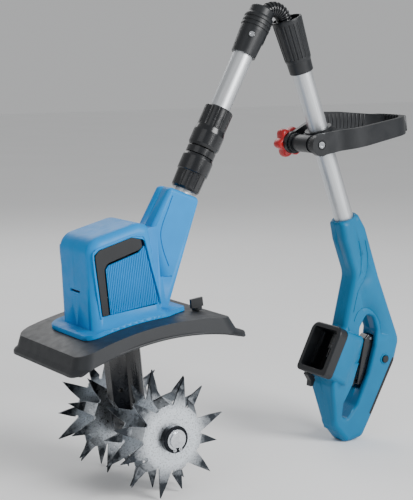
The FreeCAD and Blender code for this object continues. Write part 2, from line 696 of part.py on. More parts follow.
def toothedRing(y0, y1):
    hole = yCylinder(size("boltDiameter") / 2 + 0.05, 0, 0, y0 - 1, y1 + 1)
    washer = yCylinder(14.0, 0, 0, y0, y1).cut(hole)
    notches = []
    for i in range(24):
        angle = math.radians(i * 15)
        notches.append(yCylinder(0.9, 14.0 * math.cos(angle), 14.0 * math.sin(angle), y0 - 1, y1 + 1))
    return washer.cut(Part.makeCompound(notches))


def loopPlan(inset):
    half = size("loopHalfWidth") - inset
    reach = size("loopReach") - inset
    near = size("armInner") + size("armThickness") - inset
    return [(-40, -near), (32, -near), (56, -half), (reach - 18, -half * 0.86), (reach, -half * 0.4),
            (reach, half * 0.4), (reach - 18, half * 0.86), (56, half), (32, near), (-40, near)]


def makeLoopHandle():
    thick = size("armThickness")
    high = size("loopHeight") / 2
    inner = size("armInner")
    radii = [0, 30, 60, 34, 26, 26, 34, 60, 30, 0]
    small = [0, 36, 52, 26, 19, 19, 26, 52, 36, 0]
    rise = size("loopRise")
    reach = size("loopReach")
    outer = flatPrism(loopPlan(0), radii, -high, high + rise + 1)
    hollow = flatPrism(loopPlan(thick), small, -high - 1, high + rise + 2)
    strap = outer.cut(hollow)
    tip = reach + 2
    nearArm = sidePrism([(0, -high), (tip, -high + 4), (tip, high - 1), (0, high)], [0, 10, 10, 0], -80, 0)
    underside = [(0, -high), (28, -high + 6), (64, high - 13), (96, high - 15), (reach - 14, -high + 3.7),
                 (tip, -high + 4)]
    topside = [(tip, high - 1), (reach - 14, high - 0.9), (96, high + rise - 5), (66, high + rise),
               (44, high + rise - 2), (0, high)]
    farArm = sidePrism(underside + topside, [0, 20, 30, 30, 20, 10, 10, 20, 40, 12, 12, 0], 0, 80)
    side = nearArm.fuse([farArm, yCylinder(high + 0.8, 0, 0, -80, 80)])
    strap = strap.common(side)
    eyes = [yCylinder(high + 0.8, 0, 0, y0, y0 + thick) for y0 in (-inner - thick, inner)]
    strap = strap.fuse(eyes)
    strap = strap.cut(Part.makeBox(40, 200, 60, Vector(-56.0, -100, -30)))
    strap = strap.cut(yCylinder(size("boltDiameter") / 2 + 0.05, 0, 0, -80, 80))
    strap = carved(strap, yCylinder(6.5, 0, 0, -inner - thick - 1, -inner - thick + 3.5), "bolt head recess")
    shapeNode("loop_handle", strap, loopFrame)
    rings = Part.makeCompound([toothedRing(-inner + 0.3, -inner + 6), toothedRing(inner - 6, inner - 0.3)])
    shapeNode("toothed_rings", rings, loopFrame)
    spacer = [yCylinder(11.0, 0, 0, -inner + 6, -14.2), yCylinder(11.0, 0, 0, 14.2, inner - 6)]
    spacer = [item.cut(yCylinder(size("boltDiameter") / 2 + 0.05, 0, 0, -60, 60)) for item in spacer]
    shapeNode("clamp_spacers", Part.makeCompound(spacer), loopFrame)


def makeBoltAndKnob():
    inner = size("armInner")
    thick = size("armThickness")
    r = size("boltDiameter") / 2
    back = inner + thick
    rod = yCylinder(r, 0, 0, -back + 3.0, back + 12)
    head = yCylinder(4.8, 0, 0, -back - 0.2, -back + 3.5)
    socket = yCylinder(2.2, 0, 0, -back - 1, -back + 1.6)
    shapeNode("pivot_bolt", rod.fuse(head).cut(socket), loopFrame)
    lobe = size("knobRadius")
    body = doc.addObject("PartDesign::Body", "ClampKnob")
    sketch = sketchIn(body, "XY_Plane", "KnobDisc")
    sketch.addGeometry(Part.Circle(Vector(0, 0, 0), Vector(0, 0, 1), lobe * 0.72), False)
    pad = body.newObject("PartDesign::Pad", "KnobPad")
    pad.Profile = sketch
    pad.setExpression("Length", "Sizes.knobThickness")
    doc.recompute()
    lobes = sketchIn(body, "XY_Plane", "KnobLobe")
    lobes.addGeometry(Part.Circle(Vector(lobe * 0.72, 0, 0), Vector(0, 0, 1), lobe * 0.28), False)
    tip = body.newObject("PartDesign::Pad", "KnobLobePad")
    tip.Profile = lobes
    tip.setExpression("Length", "Sizes.knobThickness")
    doc.recompute()
    pattern = body.newObject("PartDesign::PolarPattern", "KnobLobes")
    pattern.Originals = [tip]
    pattern.Axis = (lobes, ["N_Axis"])
    pattern.Angle = 360
    pattern.setExpression("Occurrences", "Sizes.knobLobes")
    body.Tip = pattern
    doc.recompute()
    undrilled = body.Shape.Volume
    hole = sketchIn(body, "XY_Plane", "KnobBore")
    hole.addGeometry(Part.Circle(Vector(0, 0, 0), Vector(0, 0, 1), r + 0.05), False)
    bore = body.newObject("PartDesign::Pocket", "KnobBorePocket")
    bore.Profile = hole
    bore.Length = 12 - 0.3
    bore.Reversed = True
    doc.recompute()
    smaller(undrilled, body.Shape.Volume, "clamp knob bore")
    body.Placement = Placement(Vector(0, back + 0.3, 0), sideTurn)
    place(body, "clamp_knob", loopFrame)


# ---------- rear handle ----------
handleFrame = Placement(Vector(size("axleX"), 0, 0), Rotation())
bayLean = -63.5
bayFrame = turnedFrame(size("axleX") + 313.0, 141.0, bayLean)


def handleOutline():
    points = [(332, 327), (364, 339), (378, 318), (405, 243), (446, 145), (437, 111), (392, 28), (378, 4),
              (358, 0), (346, 0), (323, 26), (312, 84), (322, 120), (340, 176), (357, 249), (338, 300)]
    radii = [3, 3, 16, 60, 26, 16, 20, 12, 0, 6, 16, 20, 30, 30, 30, 20]
    return points, radii


def opening():
    points = [(381, 189), (369, 170), (367, 124), (352, 91), (336, 62), (336, 39), (347, 36), (365, 54),
              (386, 98), (398, 138), (401, 164), (394, 184)]
    return points, [6, 8, 20, 20, 10, 6, 6, 20, 20, 20, 10, 8]


def gripStripOutline():
    return [(452, 111), (407, 28), (387.5, 39), (430.5, 119)], 0.6


def triggerOutline(grow=0.0):
    points = [(371 - grow, 82 - grow), (384 - grow, 150), (392, 157 + grow), (402 + grow, 152),
              (398 + grow, 120), (386 + grow, 80 - grow)]
    return points, [4, 5, 4, 3, 8, 4]


def upperBar(radius, z0, z1):
    """A round bar on the upper tube's axis, in the handle's frame."""
    local = handleFrame.inverse().multiply(sleeveFrame)
    return Part.makeCylinder(radius, z1 - z0, local.multVec(Vector(0, 0, z0)),
                             local.Rotation.multVec(Vector(0, 0, 1)))


def bayBlock():
    """Block behind the battery face that narrows away from it, in the handle's frame."""
    wide = size("bayHalfWidth")
    wires = []
    sections = ((37, wide - 0.6, -7.0), (39, wide - 1.6, -34.0), (43, size("gripHalfWidth"), -56.0))
    for long, half, z in sections:
        points = [(-long, -half), (long, -half), (long, half), (-long, half)]
        wires.append(roundedWire(points, 9, lambda a, b, z=z: Vector(a, b, z)))
    block = Part.makeLoft(wires, True, True)
    block.Placement = handleFrame.inverse().multiply(bayFrame)
    return block


def footWedge():
    """Front column under the battery, wide at the top and narrow at the foot."""
    wires = []
    sections = ((20.0, 326.0, 34.0, 15.0), (92.0, 310.0, 44.0, 29.0), (120.0, 318.0, 44.0, 32.0))
    for z, x, depth, wide in sections:
        points = [(x, -wide), (x + depth, -wide * 0.8), (x + depth, wide * 0.8), (x, wide)]
        wires.append(roundedWire(points, 5, lambda a, b, z=z: Vector(a, b, z)))
    return Part.makeLoft(wires, True, True)


def makeRearHandle():
    wide = size("gripHalfWidth")
    points, radii = handleOutline()
    core = sidePrism(points, radii, -wide, wide)
    core = softened(core, size("gripRound"), lambda e: abs(abs(e.CenterOfMass.y) - wide) < 0.01)
    points, radii = opening()
    gap = sidePrism(points, radii, -60, 60)
    core = softened(core.cut(gap), size("gapRound"), lambda e: abs(abs(e.CenterOfMass.y) - wide) < 0.01
                    and gap.distToShape(Part.Vertex(e.CenterOfMass))[0] < 1.5)
    collar = upperBar(18.5, -handleReach + 4, -303)
    outer = core.fuse([collar, bayBlock(), footWedge()])
    outer = outer.cut(gap)
    outer = outer.cut(upperBar(size("upperOuter") / 2, -handleReach, -250))
    pocket = Part.makeBox(2 * 34.0, 2 * 30.0, size("bayDepth") - 7, Vector(-34, -30, -size("bayDepth")))
    pocket.Placement = handleFrame.inverse().multiply(bayFrame).multiply(pocket.Placement)
    outer = carved(outer, pocket, "battery socket")
    points, radii = gripStripOutline()
    strip = core.common(sidePrism(points, radii, -30, 30))
    outer = carved(outer, sidePrism(points, radii, -30, 30), "grip strip seat")
    points, radii = triggerOutline(1.0)
    outer = carved(outer, sidePrism(points, radii, -9.6, 9.6), "trigger slot")
    cavity = sidePrism([(366, 74.5), (404, 77), (424, 130), (420, 160), (402, 160)], 2, -9.6, 9.6)
    boardRoom = Part.makeBox(14, 26, 50, Vector(374, -13, 200))
    outer = carved(outer, cavity, "trigger room")
    outer = carved(outer, boardRoom, "board room")
    outer = carved(outer, yCylinder(5.3, 416, 118, -30, 30), "lock button hole")
    left, right = halves(outer)
    shapeNode("rear_housing_left", left, handleFrame)
    shapeNode("rear_housing_right", right, handleFrame)
    shapeNode("grip_strip", strip, handleFrame)


def makeBattery():
    """Frame of the battery socket with its guide rails, contacts and charge light."""
    half = size("bayHalfWidth")
    deep = size("bayDepth")
    frame = flatPrism([(-38, -half), (38, -half), (38, half), (-38, half)], [7, 13, 13, 7], -6.9, 8.0)
    frame = softened(frame, 2.2, lambda e: abs(e.CenterOfMass.z - 8.0) < 0.01)
    tub = flatPrism([(-33.9, -29.9), (33.9, -29.9), (33.9, 29.9), (-33.9, 29.9)], 2, -deep + 0.1, -6.9)
    hollow = flatPrism([(-30, -26), (31, -26), (31, 26), (-30, 26)], 4, -deep + 3, 12)
    frame = frame.fuse(tub).cut(hollow)
    rails = [Part.makeBox(50, 4, 3, Vector(-22, y, -12)) for y in (-26, 22)]
    shapeNode("battery_bay", frame.fuse(rails), bayFrame)
    floor = -deep + 3
    block = Part.makeBox(22, 30, 9, Vector(8, -15, floor))
    blades = [Part.makeBox(16, 1.2, 8, Vector(-6, y, floor + 1)) for y in (-11, -4, 3, 10)]
    shapeNode("terminals", block.fuse(blades), bayFrame)
    shapeNode("charge_light", zCylinder(3.0, -18, -17, floor, floor + 3), bayFrame)
    catch = [(-38.5, -6), (-44, -12), (-53, -13), (-56, -9), (-48, -6), (-42, 4.0), (-38.5, 4.0)]
    wire = roundedWire(catch, 0.4, lambda x, z: Vector(x, 6, z))
    lever = Part.Face(wire).extrude(Vector(0, 10, 0)).fuse(yCylinder(1.8, -41, -7, 5, 17))
    shapeNode("battery_catch", lever, bayFrame)


triggerPivot = (395.0, 150.0)


def makeTrigger():
    points, radii = triggerOutline()
    lever = sidePrism(points, radii, -8.8, 8.8)
    lever = softened(lever, 2.2, lambda e: abs(abs(e.CenterOfMass.y) - 8.8) < 0.01)
    lever = lever.fuse(sidePrism([(372, 84), (366, 80), (364, 84), (372, 92)], 1, -4, 4))
    x, z = triggerPivot
    lever = lever.cut(yCylinder(2.05, x, z, -12, 12)).cut(yCylinder(4.4, x, z, -4, 4))
    shapeNode("trigger", lever, handleFrame)
    shapeNode("trigger_pin", yCylinder(2.0, x, z, -9.6, 9.6), handleFrame)
    spring = yCylinder(3.9, x, z, -3.8, 3.8).cut(yCylinder(2.0, x, z, -5, 5))
    shapeNode("trigger_spring", spring, handleFrame)
    shapeNode("trigger_switch", Part.makeBox(11, 14, 24, Vector(408, -7, 128)), handleFrame)
    button = yCylinder(5.2, 416, 118, -20.5, 20.5)
    shapeNode("lock_button", button, handleFrame)


def makeRearScrews():
    points = [(377, 270), (394, 236), (350, 22), (432, 140)]
    shapeNode("handle_screws", screwHeads(3.0, 1.2, points, size("gripHalfWidth")), handleFrame)
    board = Part.makeBox(2, 22, 44, Vector(380, -11, 203))
    shapeNode("control_board", board, handleFrame)


# ---------- build, check and write ----------
makeAxle()
makeHubs()
makeTines()
makeClips()
makeBevelGears()
makeDriveShaft()
makeGearLeg()
makeGuard()
makeHousing()
makeSidePanels()
makeMotor()
makeHousingScrews()
makeCoupling()
makeLowerTube()
makeUpperShaft()
makeClamp()
makeLoopHandle()
makeBoltAndKnob()
makeRearHandle()
makeBattery()
makeTrigger()
makeRearScrews()
doc.recompute()

for obj in doc.Objects:
    if "Invalid" in obj.State or "Error" in obj.State:
        raise RuntimeError(f"{obj.Name} failed: {obj.State}")
for node in nodes:
    shape = node.Shape
    if shape.isNull() or not shape.isValid() or not shape.Solids:
        raise RuntimeError(f"{node.Label} has no valid solid")

os.makedirs("parts", exist_ok=True)
box = FreeCAD.BoundBox()
for node in nodes:
    node.Shape.exportStep(f"parts/{node.Label}.step")
    box.add(node.Shape.BoundBox)
print(len(nodes), "nodes,", box)
print("fold pivot", pivot, "bolt", bolt)
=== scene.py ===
import math
import bpy
from mathutils import Matrix, Vector


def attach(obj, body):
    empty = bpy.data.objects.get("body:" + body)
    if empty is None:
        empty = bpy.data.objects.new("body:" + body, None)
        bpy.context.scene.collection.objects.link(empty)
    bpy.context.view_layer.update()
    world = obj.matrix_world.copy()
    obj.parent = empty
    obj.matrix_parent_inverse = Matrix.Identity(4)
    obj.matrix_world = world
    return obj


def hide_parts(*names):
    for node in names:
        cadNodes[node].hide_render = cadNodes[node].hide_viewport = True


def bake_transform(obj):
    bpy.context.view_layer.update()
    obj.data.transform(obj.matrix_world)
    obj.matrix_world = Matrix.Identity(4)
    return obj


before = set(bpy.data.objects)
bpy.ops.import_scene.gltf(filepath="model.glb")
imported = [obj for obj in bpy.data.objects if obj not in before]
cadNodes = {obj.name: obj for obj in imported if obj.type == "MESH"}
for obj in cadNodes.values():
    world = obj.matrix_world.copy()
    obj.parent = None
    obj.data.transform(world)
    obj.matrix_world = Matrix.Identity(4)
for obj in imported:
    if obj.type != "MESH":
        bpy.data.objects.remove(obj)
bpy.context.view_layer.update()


# ---- frames: local millimetres to the shared frame in metres ----
def leaned(x, z, lean):
    turn = Matrix.Rotation(math.radians(lean), 4, "Y")
    return Matrix.Translation((x / 1000, 0, z / 1000)) @ turn @ Matrix.Scale(0.001, 4)


headTilt, lowerLean, upperLean, loopTilt = 6, 27.8, 20.5, 12
axleX, axleZ = -152.64, 80.05
lowerStartX, lowerStartZ = axleX + 75.6, 388
upperStartX, upperStartZ = axleX + 242.4, 616.6
pivotX, pivotZ = 66.826, 609.408
boltX, boltZ = 127.324, 442.745
worldFrame = leaned(0, 0, 0)
headFrame = leaned(axleX, axleZ, -headTilt)
loopFrame = leaned(boltX, boltZ, loopTilt - upperLean)
handleFrame = leaned(axleX, 0, 0)


# ---- materials ----
def linear(hexColour, gain=1.0):
    channels = [int(hexColour[i:i + 2], 16) / 255 for i in (1, 3, 5)]
    return [gain * (c / 12.92 if c <= 0.04045 else ((c + 0.055) / 1.055) ** 2.4) for c in channels] + [1.0]


def addNode(tree, kind, inputs=None, **settings):
    node = tree.nodes.new(kind)
    for key, value in settings.items():
        setattr(node, key, value)
    for key, value in (inputs or {}).items():
        if isinstance(value, bpy.types.NodeSocket):
            tree.links.new(value, node.inputs[key])
        else:
            node.inputs[key].default_value = value
    return node


def startMaterial(name, **uniform):
    material = bpy.data.materials.new(name)
    material.use_nodes = True
    tree = material.node_tree
    shader = tree.nodes["Principled BSDF"]
    for key, value in uniform.items():
        shader.inputs[key.replace("_", " ")].default_value = value
    place = addNode(tree, "ShaderNodeTexCoord").outputs["Object"]
    return material, tree, shader, place


def noise(tree, place, sizeMm, detail=3.0):
    inputs = {"Vector": place, "Scale": 1000 / sizeMm, "Detail": detail}
    return addNode(tree, "ShaderNodeTexNoise", inputs).outputs["Fac"]


def ranged(tree, value, low, high, fromLow=0.3, fromHigh=0.7):
    inputs = {"Value": value, "From Min": fromLow, "From Max": fromHigh, "To Min": low, "To Max": high}
    return addNode(tree, "ShaderNodeMapRange", inputs).outputs["Result"]


def mixed(tree, factor, a, b):
    node = addNode(tree, "ShaderNodeMix", data_type="RGBA")
    tree.links.new(factor, node.inputs[0])
    for socket, value in ((6, a), (7, b)):
        if isinstance(value, bpy.types.NodeSocket):
            tree.links.new(value, node.inputs[socket])
        else:
            node.inputs[socket].default_value = value
    return node.outputs[2]


def bumped(tree, shader, height, depthMm, edgeMm):
    edge = addNode(tree, "ShaderNodeBevel", {"Radius": edgeMm / 1000}, samples=4)
    bump = addNode(tree, "ShaderNodeBump", {"Height": height, "Distance": depthMm / 1000, "Strength": 1.0,
                                            "Normal": edge.outputs["Normal"]})
    tree.links.new(bump.outputs["Normal"], shader.inputs["Normal"])


# Coordinates in a frame that leans like the part, shrunk along one axis so that noise makes streaks.
def stretched(tree, place, lean, centre, shrink):
    moved = addNode(tree, "ShaderNodeVectorMath", {0: place, 1: centre}, operation="SUBTRACT").outputs[0]
    turned = addNode(tree, "ShaderNodeVectorRotate", {"Vector": moved, "Angle": math.radians(-lean)},
                     rotation_type="Y_AXIS").outputs[0]
    return addNode(tree, "ShaderNodeVectorMath", {0: turned, 1: shrink}, operation="MULTIPLY").outputs[0]


def mouldedPlastic(name, colour, roughness, grainMm, depthMm, edgeMm=0.5, coat=0.0, tone=0.07, shine=0.5):
    material, tree, shader, place = startMaterial(name, Coat_Weight=coat, Coat_Roughness=0.12,
                                                  Specular_IOR_Level=shine)
    cloud = noise(tree, place, 45, 2)
    colourNode = mixed(tree, ranged(tree, cloud, 0, 1), linear(colour, 1 - tone), linear(colour, 1 + tone))
    tree.links.new(colourNode, shader.inputs["Base Color"])
    rough = ranged(tree, noise(tree, place, 12, 4), roughness - 0.05, roughness + 0.06)
    tree.links.new(rough, shader.inputs["Roughness"])
    bumped(tree, shader, noise(tree, place, grainMm, 4), depthMm, edgeMm)
    return material


def tubeMetal(name, colour, lean, startX, startZ, roughness):
    material, tree, shader, place = startMaterial(name, Metallic=1.0)
    centre = (startX / 1000, 0, startZ / 1000)
    lines = noise(tree, stretched(tree, place, lean, centre, (1, 1, 0.012)), 0.9, 5)
    tree.links.new(mixed(tree, ranged(tree, lines, 0, 1), linear(colour, 0.86), linear(colour, 1.05)),
                   shader.inputs["Base Color"])
    tree.links.new(ranged(tree, lines, roughness - 0.05, roughness + 0.09), shader.inputs["Roughness"])
    bumped(tree, shader, lines, 0.012, 0.3)
    return material


# Distance from the axle's line, in metres.
def fromAxle(tree, place):
    flat = stretched(tree, place, 0, (axleX / 1000, 0, axleZ / 1000), (1, 0, 1))
    return addNode(tree, "ShaderNodeVectorMath", {0: flat}, operation="LENGTH").outputs["Value"]


def tineMetal(name, bright, paintedTipShadeColour, speckAmount):
    material, tree, shader, place = startMaterial(name, Metallic=1.0)
    # Painted shade: the colour darkens with distance from the axle, towards the tine tips, and random
    # blotches vary how much.
    paintedTipShadeMask = ranged(tree, fromAxle(tree, place), 0, 1, 0.036, 0.062)
    blotch = ranged(tree, noise(tree, place, 9, 5), 0.75, 1.25)
    paintedTipShadeShare = addNode(tree, "ShaderNodeMath", {0: paintedTipShadeMask, 1: blotch}, operation="MULTIPLY",
                    use_clamp=True).outputs[0]
    base = mixed(tree, paintedTipShadeShare, linear(bright), linear(paintedTipShadeColour))
    specks = ranged(tree, noise(tree, place, 2.2, 6), 0, speckAmount, 0.52, 0.66)
    tree.links.new(mixed(tree, specks, base, linear("#23262A")), shader.inputs["Base Color"])
    tree.links.new(ranged(tree, noise(tree, place, 4, 5), 0.24, 0.5), shader.inputs["Roughness"])
    bumped(tree, shader, noise(tree, place, 1.6, 5), 0.05, 0.5)
    return material


def turnedMetal(name, colour, roughness, pitchMm, metallic=1.0):
    material, tree, shader, place = startMaterial(name, Metallic=metallic)
    rings = addNode(tree, "ShaderNodeMath", {0: fromAxle(tree, place), 1: 2000 * math.pi / pitchMm},
                    operation="MULTIPLY").outputs[0]
    wave = addNode(tree, "ShaderNodeMath", {0: rings}, operation="SINE").outputs[0]
    tone = ranged(tree, noise(tree, place, 5), 0, 1)
    tree.links.new(mixed(tree, tone, linear(colour, 0.85), linear(colour, 1.1)), shader.inputs["Base Color"])
    tree.links.new(ranged(tree, noise(tree, place, 3, 4), roughness - 0.06, roughness + 0.08),
                   shader.inputs["Roughness"])
    bumped(tree, shader, wave, 0.02, 0.4)
    return material


def grainedMetal(name, colour, roughness, grainMm, depthMm, metallic=1.0):
    material, tree, shader, place = startMaterial(name, Metallic=metallic)
    grain = noise(tree, place, grainMm, 5)
    tree.links.new(mixed(tree, ranged(tree, grain, 0, 1), linear(colour, 0.82), linear(colour, 1.1)),
                   shader.inputs["Base Color"])
    tree.links.new(ranged(tree, grain, roughness - 0.06, roughness + 0.08), shader.inputs["Roughness"])
    bumped(tree, shader, grain, depthMm, 0.3)
    return material


materials = {
    # ABS, the motor head's shell: light spark grain
    "headAbs": mouldedPlastic("headAbs", "#0086CE", 0.44, 0.8, 0.03, 0.9, shine=0.28),
    # ABS, the rear handle's shell: slightly greener
    "handleAbs": mouldedPlastic("handleAbs", "#006A96", 0.46, 0.8, 0.03, 0.9, shine=0.28),
    # glass-filled nylon, satin: fitting, sleeve, loop handle, bay
    "satinNylon": mouldedPlastic("satinNylon", "#13161A", 0.40, 0.7, 0.05, 0.6),
    # polypropylene, matte with a coarse leather grain: the guard
    "guardPolypropylene": mouldedPlastic("guardPolypropylene", "#1D2024", 0.46, 1.4, 0.12, 0.8),
    # polyamide, glossy: couplings, gear leg and trigger
    "glossPolyamide": mouldedPlastic("glossPolyamide", "#0A0D12", 0.27, 2.5, 0.02, 0.7, coat=0.2),
    # thermoplastic rubber, overmoulded
    "softRubber": mouldedPlastic("softRubber", "#141517", 0.72, 0.5, 0.06, 0.4),
    # polypropylene, red: the clamp knob
    "knobPolypropylene": mouldedPlastic("knobPolypropylene", "#B4060F", 0.36, 1.0, 0.03, 0.8, coat=0.15),
    # polycarbonate, clear green: the charge light
    "lightPolycarbonate": mouldedPlastic("lightPolycarbonate", "#39D98A", 0.15, 3.0, 0.01, 0.2, coat=0.6),
    # coated glass-epoxy: the control board
    "boardEpoxy": mouldedPlastic("boardEpoxy", "#0F5A36", 0.35, 0.4, 0.02, 0.1, coat=0.3),
    # aluminium tube, satin anodised, drawn lines along the tube
    "lowerAluminium": tubeMetal("lowerAluminium", "#D2D5D8", lowerLean, lowerStartX, lowerStartZ, 0.42),
    "upperAluminium": tubeMetal("upperAluminium", "#D2D5D8", -upperLean, upperStartX, upperStartZ, 0.42),
    # spring steel, zinc plated, mottled, with painted shade darkening it towards the tips
    "zincSteel": tineMetal("zincSteel", "#DCE2E8", "#383C41", 0.45),
    # steel, turned: axle end, clips and bolts
    "turnedSteel": turnedMetal("turnedSteel", "#CDD1D6", 0.26, 0.7),
    # steel, black oxide, turned: hubs
    "blackSteel": turnedMetal("blackSteel", "#26282C", 0.30, 0.9),
    # steel, black oxide: screws
    "screwSteel": grainedMetal("screwSteel", "#1D1F22", 0.38, 0.8, 0.01),
    # steel, bright zinc: fitting and clamp screws
    "brightSteel": grainedMetal("brightSteel", "#D5D9DD", 0.24, 1.2, 0.01),
    # case-hardened steel: gears, shaft, pins
    "gearSteel": grainedMetal("gearSteel", "#8A8E93", 0.34, 1.0, 0.02),
    # sintered bronze: axle bushes
    "sinteredBronze": grainedMetal("sinteredBronze", "#A8823F", 0.5, 0.4, 0.05),
    # nickel-plated brass: battery contacts
    "nickelBrass": grainedMetal("nickelBrass", "#D8DADB", 0.3, 0.8, 0.01),
}

finishOf = {
    "headAbs": ["motor_housing_left", "motor_housing_right", "grille_left", "grille_right"],
    "handleAbs": ["rear_housing_left", "rear_housing_right"],
    "satinNylon": ["side_trim_left", "side_trim_right", "guard_screw", "conduit_fitting", "tube_plug",
                   "locking_sleeve", "handle_clamp", "loop_handle", "toothed_rings", "clamp_spacers",
                   "battery_bay", "battery_catch", "lock_button"],
    "guardPolypropylene": ["guard"],
    "glossPolyamide": ["leg_case_left", "leg_case_right", "coupler_body", "lower_nut", "upper_nut", "conduit",
                       "trigger", "trigger_switch"],
    "softRubber": ["axle_seals", "grip_strip"],
    "knobPolypropylene": ["clamp_knob"],
    "lightPolycarbonate": ["charge_light"],
    "boardEpoxy": ["control_board"],
    "lowerAluminium": ["stub_tube", "lower_tube"],
    "upperAluminium": ["upper_tube"],
    "zincSteel": ["tine_outer_left", "tine_inner_left", "tine_inner_right", "tine_outer_right"],
    "turnedSteel": ["axle", "axle_clips"],
    "blackSteel": ["hub_left", "hub_right"],
    "screwSteel": ["housing_screws", "handle_screws"],
    "brightSteel": ["fitting_screws", "pivot_bolt"],
    "gearSteel": ["motor_can", "motor_gearbox", "drive_shaft", "bevel_pinion", "bevel_gear", "shaft_bearings",
                  "trigger_pin", "trigger_spring"],
    "sinteredBronze": ["axle_bushes"],
    "nickelBrass": ["terminals"],
}
for finish, members in finishOf.items():
    for node in members:
        cadNodes[node].data.materials.clear()
        cadNodes[node].data.materials.append(materials[finish])
unfinished = sorted(set(cadNodes) - {node for members in finishOf.values() for node in members})
print("materials set, without one:", unfinished)


# ---- mesh makers, in local millimetres ----
def solid(name, points, faces, placement, finish, sharp=32):
    mesh = bpy.data.meshes.new(name)
    mesh.from_pydata([placement @ Vector(p) for p in points], [], faces)
    mesh.materials.append(materials[finish])
    mesh.shade_smooth()
    mesh.set_sharp_from_angle(angle=math.radians(sharp))
    made = bpy.data.objects.new(name, mesh)
    bpy.context.scene.collection.objects.link(made)
    return made


# Faces between rings of equal count, capped at both ends unless the rings close into a loop.
def stitched(rings, closedLoop=False):
    count = len(rings[0])
    points = [p for one in rings for p in one]
    faces = []
    for i in range(len(rings) if closedLoop else len(rings) - 1):
        a, b = i * count, ((i + 1) % len(rings)) * count
        for k in range(count):
            n = (k + 1) % count
            faces.append((a + k, a + n, b + n, b + k))
    if not closedLoop:
        faces.append(tuple(reversed(range(count))))
        last = (len(rings) - 1) * count
        faces.append(tuple(last + k for k in range(count)))
    return points, faces


# A section of (sideways, up) offsets carried along a path of points.
def swept(path, section, up=(0, 1, 0), closedLoop=False):
    points = [Vector(p) for p in path]
    upward = Vector(up)
    rings = []
    for i, here in enumerate(points):
        if closedLoop:
            before, after = points[i - 1], points[(i + 1) % len(points)]
        else:
            before, after = points[max(i - 1, 0)], points[min(i + 1, len(points) - 1)]
        way = (after - before).normalized()
        side = way.cross(upward).normalized()
        top = side.cross(way)
        rings.append([here + side * s + top * t for s, t in section])
    return stitched(rings, closedLoop)


# A solid turned about Z from an open (radius, height) profile that starts and ends off the axis.
def lathed(profile, count=48):
    turns = [2 * math.pi * k / count for k in range(count)]
    return stitched([[(r * math.cos(a), r * math.sin(a), z) for a in turns] for r, z in profile])


def roundSection(radius, count=12, squash=1.0):
    turns = [2 * math.pi * k / count for k in range(count)]
    return [(radius * math.cos(a), radius * squash * math.sin(a)) for a in turns]


# Points along a smooth curve through the given ones.
def smoothPath(points, steps=8, closedLoop=False):
    known = [Vector(p) for p in points]
    count = len(known)
    path = []
    for i in range(count if closedLoop else count - 1):
        if closedLoop:
            p = [known[(i + k) % count] for k in (-1, 0, 1, 2)]
        else:
            p = [known[max(i - 1, 0)], known[i], known[i + 1], known[min(i + 2, count - 1)]]
        for s in range(steps):
            t = s / steps
            first = (p[2] - p[0]) * t
            second = (2 * p[0] - 5 * p[1] + 4 * p[2] - p[3]) * t * t
            third = (3 * p[1] - p[0] - 3 * p[2] + p[3]) * t ** 3
            path.append(0.5 * (2 * p[1] + first + second + third))
    if not closedLoop:
        path.append(known[-1])
    return path


# ---- geometry nodes ----
def nodeGroup(name, sockets):
    group = bpy.data.node_groups.new(name, "GeometryNodeTree")
    for label, kind in sockets:
        group.interface.new_socket(label, in_out="INPUT", socket_type=kind)
    group.interface.new_socket("Geometry", in_out="OUTPUT", socket_type="NodeSocketGeometry")
    return group, addNode(group, "NodeGroupInput"), addNode(group, "NodeGroupOutput")


# Copies of one object at even steps along a line, each turned to face along it.
def makeRepeatGroup():
    group, given, out = nodeGroup("repeatAlongLine", [
        ("Line", "NodeSocketGeometry"), ("Copy", "NodeSocketObject"), ("Count", "NodeSocketInt"),
        ("Up", "NodeSocketVector"), ("Finish", "NodeSocketMaterial")])
    curve = addNode(group, "GeometryNodeMeshToCurve", {"Mesh": given.outputs["Line"]})
    even = addNode(group, "GeometryNodeResampleCurve",
                   {"Curve": curve.outputs[0], "Count": given.outputs["Count"]})
    tangent = addNode(group, "GeometryNodeInputTangent")
    facing = addNode(group, "FunctionNodeAlignRotationToVector", {"Vector": tangent.outputs[0]}, axis="Z")
    upright = addNode(group, "FunctionNodeAlignRotationToVector",
                      {"Rotation": facing.outputs[0], "Vector": given.outputs["Up"]},
                      axis="Y", pivot_axis="Z")
    copy = addNode(group, "GeometryNodeObjectInfo", {"Object": given.outputs["Copy"]})
    placed = addNode(group, "GeometryNodeInstanceOnPoints", {
        "Points": even.outputs[0], "Instance": copy.outputs["Geometry"], "Rotation": upright.outputs[0]})
    real = addNode(group, "GeometryNodeRealizeInstances", {"Geometry": placed.outputs[0]})
    dressed = addNode(group, "GeometryNodeSetMaterial", {"Geometry": real.outputs[0],
                                                         "Material": given.outputs["Finish"]})
    group.links.new(dressed.outputs[0], out.inputs[0])
    return group


# Copies of one object on the points of a mesh, all turned the same way.
def makeScatterGroup():
    group, given, out = nodeGroup("copyOnPoints", [
        ("Points", "NodeSocketGeometry"), ("Copy", "NodeSocketObject"), ("Turn", "NodeSocketRotation"),
        ("Finish", "NodeSocketMaterial")])
    copy = addNode(group, "GeometryNodeObjectInfo", {"Object": given.outputs["Copy"]})
    placed = addNode(group, "GeometryNodeInstanceOnPoints", {
        "Points": given.outputs["Points"], "Instance": copy.outputs["Geometry"],
        "Rotation": given.outputs["Turn"]})
    real = addNode(group, "GeometryNodeRealizeInstances", {"Geometry": placed.outputs[0]})
    dressed = addNode(group, "GeometryNodeSetMaterial", {"Geometry": real.outputs[0],
                                                         "Material": given.outputs["Finish"]})
    group.links.new(dressed.outputs[0], out.inputs[0])
    return group


repeatGroup = makeRepeatGroup()
scatterGroup = makeScatterGroup()


